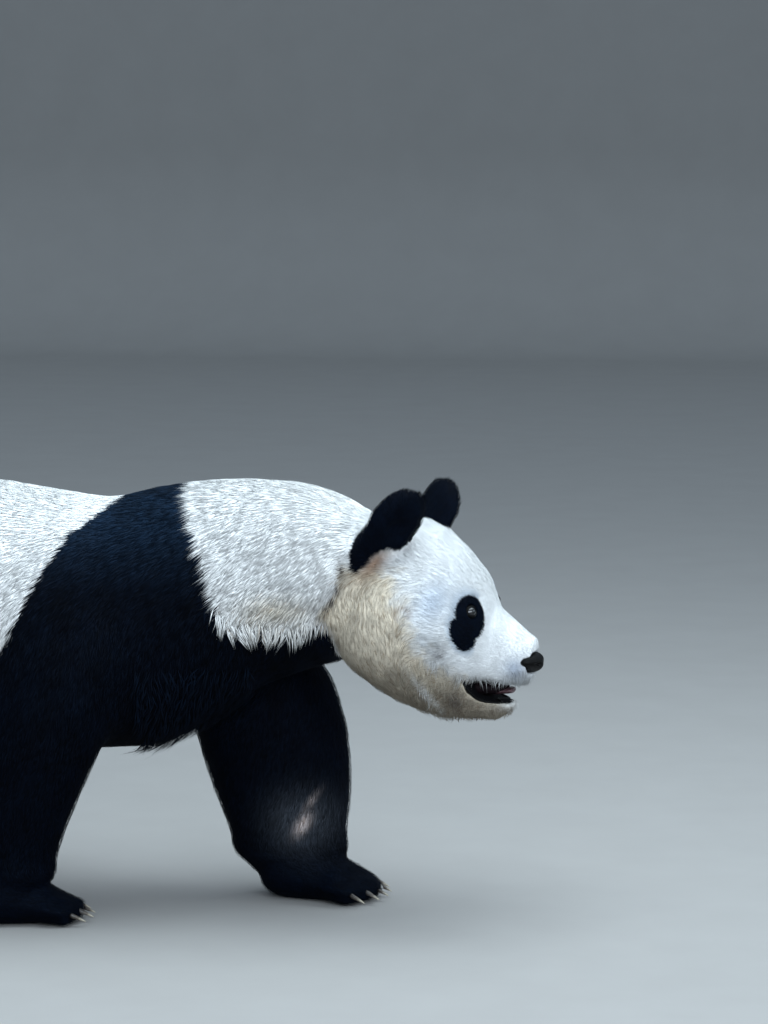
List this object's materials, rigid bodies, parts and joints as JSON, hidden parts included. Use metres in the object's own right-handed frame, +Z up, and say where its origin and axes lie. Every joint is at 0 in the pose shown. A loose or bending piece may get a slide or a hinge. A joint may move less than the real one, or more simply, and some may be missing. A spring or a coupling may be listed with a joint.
{
  "type": "giant panda model",
  "caption": "Life-size still model of an adult giant panda walking slowly with its head held low and turned a little to its right, mouth slightly open.",
  "frame": {"origin": "on the floor, under the middle of the animal's bounding box", "axes": "+X the way the panda walks, +Y to its left, +Z up"},
  "size_m": [1.5528, 0.4952, 0.7305],
  "materials": {
    "white_fur": "dense coarse fur, white to cream",
    "black_fur": "dense coarse fur, black with a cool sheen",
    "nose": "bare, finely pebbled, moist",
    "tongue": "moist, dusky pink",
    "eye": "wet, very dark brown",
    "claw": "worn dark horn"
  },
  "bodies": {
    "root": {"barrel": "white_fur", "chest": "black_fur", "ear_left": "black_fur", "ear_right": "black_fur", "eye_left": "eye", "eye_right": "eye", "forearm_left": "black_fur", "forearm_right": "black_fur", "foreclaw_left_1": "claw", "foreclaw_left_2": "claw", "foreclaw_left_3": "claw", "foreclaw_left_4": "claw", "foreclaw_left_5": "claw", "foreclaw_right_1": "claw", "foreclaw_right_2": "claw", "foreclaw_right_3": "claw", "foreclaw_right_4": "claw", "foreclaw_right_5": "claw", "forepaw_left": "black_fur", "forepaw_right": "black_fur", "head": "white_fur", "hindclaw_left_1": "claw", "hindclaw_left_2": "claw", "hindclaw_left_3": "claw", "hindclaw_left_4": "claw", "hindclaw_left_5": "claw", "hindclaw_right_1": "claw", "hindclaw_right_2": "claw", "hindclaw_right_3": "claw", "hindclaw_right_4": "claw", "hindclaw_right_5": "claw", "hindfoot_left": "black_fur", "hindfoot_right": "black_fur", "jaw": "white_fur", "neck": "white_fur", "nose": "nose", "rump": "white_fur", "shank_left": "black_fur", "shank_right": "black_fur", "tail": "white_fur", "thigh_left": "black_fur", "thigh_right": "black_fur", "tongue": "tongue", "upper_arm_left": "black_fur", "upper_arm_right": "black_fur"}
  },
  "joints": []
}
